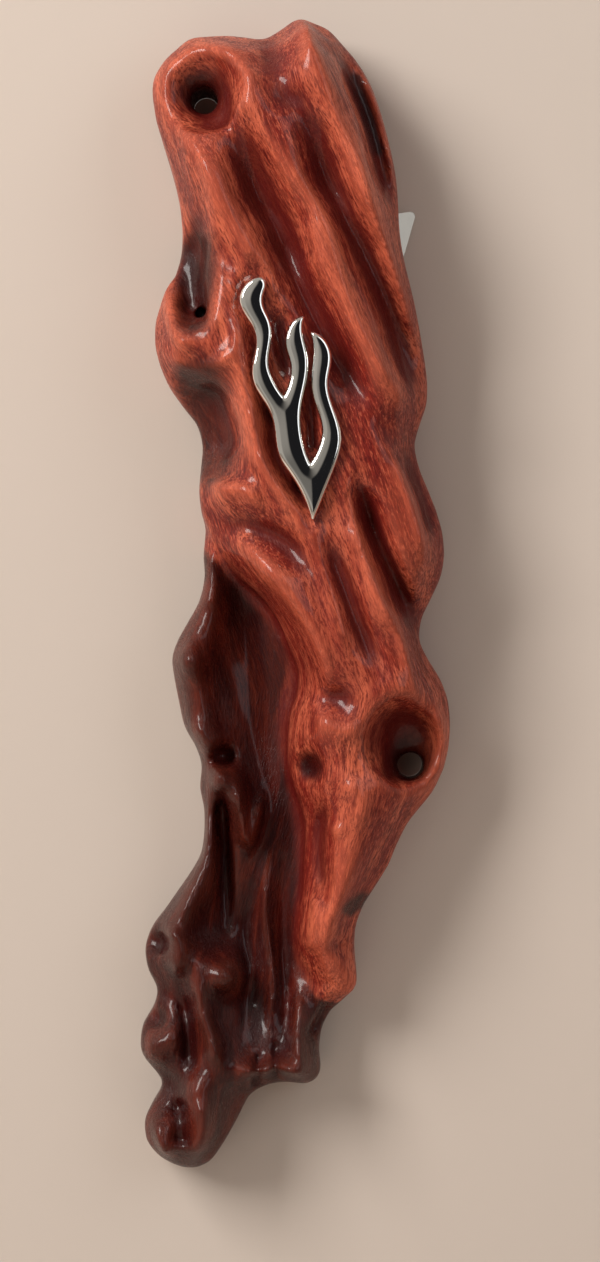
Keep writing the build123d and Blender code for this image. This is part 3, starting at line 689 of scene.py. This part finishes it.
def brass_material(settings):
    tree = Tree("turned brass")
    rings = tree.noise(tree.scaled(tree.place(), (1.0, 6.0, 1.0)), 900.0, 3.0, 0.6)
    tarnish = tree.noise(tree.place(), 700.0, 4.0, 0.6, 0.4)
    base = tree.mix(tree.span(tarnish, 0.45, 0.75), tuple(settings.brass), (0.30, 0.17, 0.05))
    return tree.finish(Base_Color=base, Metallic=1.0, Normal=tree.bump(rings, 0.15, 0.0001),
                       Roughness=tree.span(tarnish, 0.3, 0.8, 0.18, 0.38))


def parchment_material(settings):
    tree = Tree("cream parchment")
    cloud = tree.noise(tree.place(), 240.0, 5.0, 0.6, 0.3)
    speck = tree.noise(tree.place(), 3200.0, 2.0, 0.5)
    base = tree.mix(tree.span(cloud, 0.35, 0.7), tuple(settings.parchment), (0.55, 0.41, 0.24))
    base = tree.mix(tree.math("MULTIPLY", tree.span(speck, 0.62, 0.74), 0.4), base,
                    (0.35, 0.22, 0.11))
    return tree.finish(Base_Color=base, Roughness=tree.span(cloud, 0.3, 0.7, 0.55, 0.75),
                       Normal=tree.bump(speck, 0.2, 0.0002))


def clear_plastic_material(name, clouding):
    tree = Tree(name)
    scuffs = tree.noise(tree.scaled(tree.place(), (1.0, 1.0, 0.3)), 700.0, 4.0, 0.6, 0.3)
    base = tree.mix(tree.span(scuffs, 0.4, 0.8), (0.96, 0.96, 0.95), (0.85, 0.86, 0.86))
    return tree.finish(Base_Color=base, IOR=1.20, Transmission_Weight=1.0, Specular_IOR_Level=0.7,
                       Roughness=tree.span(scuffs, 0.4, 0.8, 0.03, clouding))


def geometry_node(tree, kind, inputs=(), **settings):
    node = tree.nodes.new(kind)
    for key, value in settings.items():
        setattr(node, key, value)
    for key, value in dict(inputs).items():
        if isinstance(value, bpy.types.NodeSocket):
            tree.links.new(value, node.inputs[key])
        else:
            node.inputs[key].default_value = value
    return node


def thread_tree(material):
    """A thread ridge wound along -Y from a screw's head, one at each end of a spaced pair."""
    tree = bpy.data.node_groups.new("screw thread pair", "GeometryNodeTree")
    for name in ("Radius", "Ridge", "Pitch", "Length", "Spacing"):
        tree.interface.new_socket(name, in_out="INPUT", socket_type="NodeSocketFloat")
    tree.interface.new_socket("Geometry", in_out="OUTPUT", socket_type="NodeSocketGeometry")
    given = tree.nodes.new("NodeGroupInput")
    inputs = {socket.name: socket for socket in given.outputs if socket.name}
    turns = geometry_node(tree, "ShaderNodeMath", {0: inputs["Length"], 1: inputs["Pitch"]},
                          operation="DIVIDE")
    helix = geometry_node(tree, "GeometryNodeCurveSpiral",
                          {"Resolution": 20, "Rotations": turns.outputs[0],
                           "Start Radius": inputs["Radius"], "End Radius": inputs["Radius"],
                           "Height": inputs["Length"]})
    section = geometry_node(tree, "GeometryNodeCurvePrimitiveCircle",
                            {"Resolution": 5, "Radius": inputs["Ridge"]})
    ridge = geometry_node(tree, "GeometryNodeCurveToMesh",
                          {"Curve": helix.outputs[0], "Profile Curve": section.outputs[0],
                           "Fill Caps": True})
    laid = geometry_node(tree, "GeometryNodeTransform",
                         {"Geometry": ridge.outputs[0], "Rotation": (math.pi / 2, 0.0, 0.0)})
    step = geometry_node(tree, "ShaderNodeCombineXYZ", {"Z": inputs["Spacing"]})
    ends = geometry_node(tree, "GeometryNodeMeshLine",
                         {"Count": 2, "Offset": step.outputs[0]})
    placed = geometry_node(tree, "GeometryNodeInstanceOnPoints",
                           {"Points": ends.outputs[0], "Instance": laid.outputs[0]})
    real = geometry_node(tree, "GeometryNodeRealizeInstances", {0: placed.outputs[0]})
    painted = geometry_node(tree, "GeometryNodeSetMaterial",
                            {"Geometry": real.outputs[0], "Material": material})
    result = tree.nodes.new("NodeGroupOutput")
    tree.links.new(painted.outputs[0], result.inputs[0])
    return tree


class MEZUZAH_OT_back(bpy.types.Operator):
    """Finish the back cover and its screws, the rolled scroll in its sleeve and the pads"""
    bl_idname = "mezuzah.back"
    bl_label = "Back Cover, Screws, Scroll and Pads"

    def execute(self, context):
        settings = context.scene.mezuzah_back
        paint("back_cover", plain_wood_material(context.scene.mezuzah_carving))
        paint("scroll_parchment", parchment_material(settings))
        paint("scroll_sleeve", clear_plastic_material("clear film sleeve", 0.12))
        for node in ("tape_upper_right", "tape_upper_left", "tape_lower"):
            paint(node, clear_plastic_material("clear mounting pad", 0.25))
        brass = brass_material(settings)
        for node in ("cover_screw_upper", "cover_screw_lower"):
            paint(node, brass)
        self.wind_threads(settings, brass)
        return {"FINISHED"}

    def wind_threads(self, settings, brass):
        low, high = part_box("cover_screw_lower")
        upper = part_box("cover_screw_upper")
        cover_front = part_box("back_cover")[0][1]
        middle = [(low[axis] + high[axis]) / 2 for axis in range(3)]
        spacing = (upper[0][2] + upper[1][2]) / 2 - middle[2]
        holder = bpy.data.objects.new("thread_maker", bpy.data.meshes.new("thread_maker"))
        bpy.context.scene.collection.objects.link(holder)
        modifier = holder.modifiers.new("threads", "NODES")
        modifier.node_group = thread_tree(brass)
        start = cover_front - 0.0006
        wanted = {"Radius": settings.thread_radius, "Ridge": settings.thread_ridge,
                  "Pitch": settings.thread_pitch, "Length": start - low[1] - 0.0022,
                  "Spacing": spacing}
        for item in modifier.node_group.interface.items_tree:
            if item.name in wanted:
                modifier[item.identifier] = wanted[item.name]
        graph = bpy.context.evaluated_depsgraph_get()
        mesh = bpy.data.meshes.new_from_object(holder.evaluated_get(graph))
        bpy.data.objects.remove(holder)
        mesh.transform(Matrix.Translation((middle[0], start, middle[2])))
        mesh.name = "screw_threads"
        piece = bpy.data.objects.new("screw_threads", mesh)
        bpy.context.scene.collection.objects.link(piece)
        for polygon in mesh.polygons:
            polygon.use_smooth = True
        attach(piece, "cover")


# ---- stage ----------------------------------------------------------------------------------
def flat_stage(name, corners, material):
    piece = new_piece(name, corners, [(0, 1, 2, 3)], material, smooth=False)
    return piece


def add_light(name, place, aim, size, power, tint):
    data = bpy.data.lights.new(name, "AREA")
    data.shape = "RECTANGLE"
    data.size, data.size_y = size
    data.energy = power
    data.color = tint
    light = bpy.data.objects.new(name, data)
    bpy.context.scene.collection.objects.link(light)
    light.location = place
    light.rotation_euler = (Vector(aim) - Vector(place)).to_track_quat("-Z", "Y").to_euler()


def make_room(scene):
    """A pale room with one dark side, which the metal mirrors; the camera sees only pale."""
    world = bpy.data.worlds.new("pale room")
    scene.world = world
    world.use_nodes = True
    nodes, links = world.node_tree.nodes, world.node_tree.links
    toward = nodes.new("ShaderNodeTexCoord").outputs["Generated"]
    dot = nodes.new("ShaderNodeVectorMath")
    dot.operation = "DOT_PRODUCT"
    links.new(toward, dot.inputs[0])
    dot.inputs[1].default_value = DARK_SIDE
    span = nodes.new("ShaderNodeMapRange")
    span.interpolation_type = "SMOOTHSTEP"
    span.inputs["From Min"].default_value, span.inputs["From Max"].default_value = DARK_SIDE_EDGE
    links.new(dot.outputs["Value"], span.inputs["Value"])
    seen = nodes.new("ShaderNodeLightPath").outputs["Is Camera Ray"]
    keep = nodes.new("ShaderNodeMath")
    keep.operation = "SUBTRACT"
    keep.use_clamp = True
    links.new(span.outputs[0], keep.inputs[0])
    links.new(seen, keep.inputs[1])
    mix = nodes.new("ShaderNodeMix")
    mix.data_type = "RGBA"
    links.new(keep.outputs[0], mix.inputs[0])
    mix.inputs[6].default_value = PALE_ROOM
    mix.inputs[7].default_value = DARK_ROOM
    background = nodes["Background"]
    links.new(mix.outputs[2], background.inputs["Color"])
    background.inputs["Strength"].default_value = ROOM_STRENGTH


class MEZUZAH_OT_stage(bpy.types.Operator):
    """Set up the pale wall and floor, the lights and the camera"""
    bl_idname = "mezuzah.stage"
    bl_label = "Stage"

    def execute(self, context):
        settings = context.scene.mezuzah_stage
        scene = context.scene
        scene.view_settings.view_transform = "Standard"
        wall = Tree("pale painted wall")
        wall.finish(Base_Color=tuple(settings.wall), Roughness=0.8)
        back = wall.node("NewGeometry").outputs["Backfacing"]
        clear = wall.node("BsdfTransparent").outputs[0]
        # light that leaves the back of the case passes the backdrop close behind it
        travelled = wall.node("LightPath").outputs["Ray Length"]
        close = wall.math("LESS_THAN", travelled, settings.open_reach)
        mixer = wall.node("MixShader", {0: wall.math("MAXIMUM", back, close),
                                        1: wall.shader.outputs[0], 2: clear})
        wall.links.new(mixer.outputs[0], wall.output.inputs["Surface"])
        behind = CAD_BOX[1][1]
        low = CAD_BOX[0][2] - 0.25
        flat_stage("backdrop", [(-1.5, behind, low), (1.5, behind, low), (1.5, behind, 1.2),
                                (-1.5, behind, 1.2)], wall.material)
        floor = Tree("pale floor")
        floor.finish(Base_Color=tuple(settings.wall), Roughness=0.8)
        flat_stage("floor", [(-1.5, -2.0, low), (1.5, -2.0, low), (1.5, 1.5, low),
                             (-1.5, 1.5, low)], floor.material)
        make_room(scene)
        add_light("window", (-0.62, -0.60, 0.42), VIEW_MIDDLE, (0.34, 0.6), 12.0, (1.0, 0.97, 0.93))
        add_light("side_fill", (0.6, -0.6, 0.2), VIEW_MIDDLE, (0.4, 0.8), 1.6, (0.93, 0.96, 1.0))
        data = bpy.data.cameras.new("camera")
        data.sensor_fit = "VERTICAL"
        data.angle = 2 * math.atan(settings.view_height / 2 / settings.distance)
        camera = bpy.data.objects.new("camera", data)
        scene.collection.objects.link(camera)
        camera.location = (VIEW_MIDDLE[0], VIEW_MIDDLE[1] - settings.distance, VIEW_MIDDLE[2])
        camera.rotation_euler = (math.pi / 2, 0.0, 0.0)
        scene.camera = camera
        return {"FINISHED"}


class MEZUZAH_PT_panel(bpy.types.Panel):
    """Lists the pieces of the case"""
    bl_idname = "MEZUZAH_PT_panel"
    bl_label = "Carved Mezuzah Case"
    bl_space_type = "VIEW_3D"
    bl_region_type = "UI"
    bl_category = "Mezuzah"

    def draw(self, context):
        for operator in OPERATORS:
            self.layout.operator(operator.bl_idname)


SETTINGS = {"mezuzah_carving": CarvingSettings, "mezuzah_emblem": EmblemSettings,
            "mezuzah_back": BackSettings, "mezuzah_stage": StageSettings}
OPERATORS = [MEZUZAH_OT_stage, MEZUZAH_OT_carved_body, MEZUZAH_OT_emblem, MEZUZAH_OT_back]


def register():
    for group in SETTINGS.values():
        bpy.utils.register_class(group)
    for operator in (*OPERATORS, MEZUZAH_PT_panel):
        bpy.utils.register_class(operator)
    for name, group in SETTINGS.items():
        setattr(bpy.types.Scene, name, bpy.props.PointerProperty(type=group))


def unregister():
    for name in SETTINGS:
        delattr(bpy.types.Scene, name)
    for item in (MEZUZAH_PT_panel, *reversed(OPERATORS), *SETTINGS.values()):
        bpy.utils.unregister_class(item)


def main():
    register()
    for operator in OPERATORS:
        group, name = operator.bl_idname.split(".")
        getattr(getattr(bpy.ops, group), name)()


if __name__ == "__main__":
    main()
